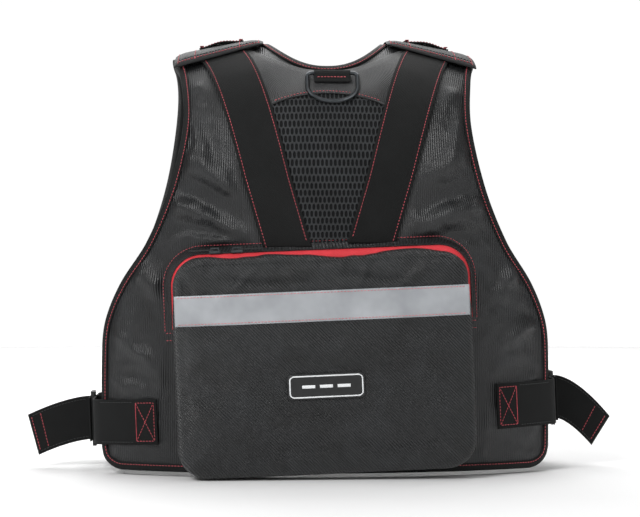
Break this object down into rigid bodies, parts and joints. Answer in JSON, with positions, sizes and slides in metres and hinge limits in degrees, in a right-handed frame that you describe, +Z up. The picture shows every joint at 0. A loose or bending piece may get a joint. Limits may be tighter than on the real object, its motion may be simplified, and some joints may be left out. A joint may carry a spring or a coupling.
{
  "type": "angler's utility vest",
  "caption": "Padded sleeveless utility vest with back pocket, webbing braces, net ring, shoulder loops, zip front and side-adjusted waist belt.",
  "frame": {"origin": "on the wearer's torso axis at the height of the hem, midway between back and front", "axes": "+Z up along the wearer's spine, +Y the way the wearer faces, +X to the wearer's right as seen from behind the back"},
  "size_m": [0.6738, 0.3203, 0.4884],
  "materials": {
    "shell_cloth": "ribbed polyamide cloth, slight sheen",
    "lining_mesh": "matte knitted lining",
    "foam": "closed-cell foam sheet",
    "binding": "woven binding tape with red stitching",
    "webbing": "matte polypropylene webbing, red stitched edges",
    "yoke_cloth": "padded ribbed cloth",
    "air_mesh": "open knitted ventilation mesh",
    "red_tape": "red woven zip tape",
    "black_coil": "spiral zip coil",
    "gunmetal": "dark nickel plated steel",
    "cord": "black cord pull",
    "reflective": "silver retroreflective tape",
    "badge": "plain moulded rubber patch",
    "acetal": "moulded acetal"
  },
  "bodies": {
    "vest": {"back_lining": "lining_mesh", "front_lining_left": "lining_mesh", "front_lining_right": "lining_mesh", "back_foam": "foam", "front_foam_left": "foam", "front_foam_right": "foam", "back_shell": "shell_cloth", "front_shell_left": "shell_cloth", "front_shell_right": "shell_cloth", "back_yoke": "shell_cloth", "pocket_gusset": "shell_cloth", "pocket_front": "shell_cloth", "chest_pocket_left": "shell_cloth", "chest_pocket_right": "shell_cloth", "lower_pocket_left": "shell_cloth", "lower_pocket_right": "shell_cloth", "lower_pocket_flap_left": "shell_cloth", "lower_pocket_flap_right": "shell_cloth", "back_binding": "binding", "front_binding_left": "binding", "front_binding_right": "binding", "neck_binding": "binding", "back_brace_left": "webbing", "back_brace_right": "webbing", "shoulder_loop_left": "webbing", "shoulder_loop_right": "webbing", "ring_keeper": "webbing", "waist_webbing_left": "webbing", "waist_webbing_right": "webbing", "front_webbing_left": "webbing", "front_webbing_right": "webbing", "mesh_panel": "air_mesh", "shoulder_yoke_left": "yoke_cloth", "shoulder_yoke_right": "yoke_cloth", "pocket_zip_tape_back": "red_tape", "pocket_zip_tape_front": "red_tape", "front_zip_tape_left": "red_tape", "front_zip_tape_right": "red_tape", "chest_zip_left": "red_tape", "chest_zip_right": "red_tape", "pocket_zip_coil": "black_coil", "front_zip_coil": "black_coil", "reflective_tape": "reflective", "pocket_badge": "badge", "waist_adjuster_left": "acetal", "waist_adjuster_right": "acetal"},
    "net_ring": {"net_ring": "gunmetal"},
    "pocket_slider_left": {"pocket_left_slider": "gunmetal"},
    "pocket_pull_left": {"pocket_left_pull": "cord"},
    "pocket_slider_right": {"pocket_right_slider": "gunmetal"},
    "pocket_pull_right": {"pocket_right_pull": "cord"},
    "front_slider": {"front_slider": "gunmetal"},
    "front_pull": {"front_pull": "cord"},
    "chest_slider_left": {"chest_left_slider": "gunmetal"},
    "chest_pull_left": {"chest_left_pull": "cord"},
    "chest_slider_right": {"chest_right_slider": "gunmetal"},
    "chest_pull_right": {"chest_right_pull": "cord"},
    "waist_tail_left": {"waist_tail_left": "webbing"},
    "waist_tail_right": {"waist_tail_right": "webbing"}
  },
  "joints": [
    {"name": "net_ring_swing", "type": "hinge", "parent": "vest", "child": "net_ring", "pos_m": [0.00516, -0.09701, 0.43802], "axis": [-1, 0, 0], "range_deg": [0, 140]},
    {"name": "pocket_slider_left_run", "type": "slide", "parent": "vest", "child": "pocket_slider_left", "axis": [0.9991, 0, 0.0419], "range_m": [-0.009, 0.01]},
    {"name": "pocket_slider_right_run", "type": "slide", "parent": "vest", "child": "pocket_slider_right", "axis": [0.9991, 0, 0.0419], "range_m": [0, 0.205]},
    {"name": "pocket_pull_left_lift", "type": "hinge", "parent": "pocket_slider_left", "child": "pocket_pull_left", "pos_m": [-0.12637, -0.142, 0.24185], "axis": [0, 1, 0], "range_deg": [0, 80]},
    {"name": "pocket_pull_right_lift", "type": "hinge", "parent": "pocket_slider_right", "child": "pocket_pull_right", "pos_m": [-0.09799, -0.142, 0.24303], "axis": [0, -1, 0], "range_deg": [0, 80]},
    {"name": "front_slider_run", "type": "slide", "parent": "vest", "child": "front_slider", "axis": [0, 0, -1], "range_m": [0, 0.255]},
    {"name": "front_pull_lift", "type": "hinge", "parent": "front_slider", "child": "front_pull", "pos_m": [0, 0.1311, 0.3013], "axis": [1, 0, 0], "range_deg": [0, 80]},
    {"name": "chest_slider_left_run", "type": "slide", "parent": "vest", "child": "chest_slider_left", "axis": [0, 0, -1], "range_m": [0, 0.04]},
    {"name": "chest_pull_left_lift", "type": "hinge", "parent": "chest_slider_left", "child": "chest_pull_left", "pos_m": [-0.1217, 0.14794, 0.3088], "axis": [0.9808, 0.195, 0], "range_deg": [0, 80]},
    {"name": "chest_slider_right_run", "type": "slide", "parent": "vest", "child": "chest_slider_right", "axis": [0, 0, -1], "range_m": [0, 0.04]},
    {"name": "chest_pull_right_lift", "type": "hinge", "parent": "chest_slider_right", "child": "chest_pull_right", "pos_m": [0.1217, 0.14794, 0.3088], "axis": [0.9808, -0.195, 0], "range_deg": [0, 80]},
    {"name": "waist_tail_left_pull_out", "type": "slide", "parent": "vest", "child": "waist_tail_left", "axis": [-0.9991, 0, -0.0419], "range_m": [0, 0.02]},
    {"name": "waist_tail_right_pull_out", "type": "slide", "parent": "vest", "child": "waist_tail_right", "axis": [0.9991, 0, 0.0419], "range_m": [0, 0.02]}
  ]
}
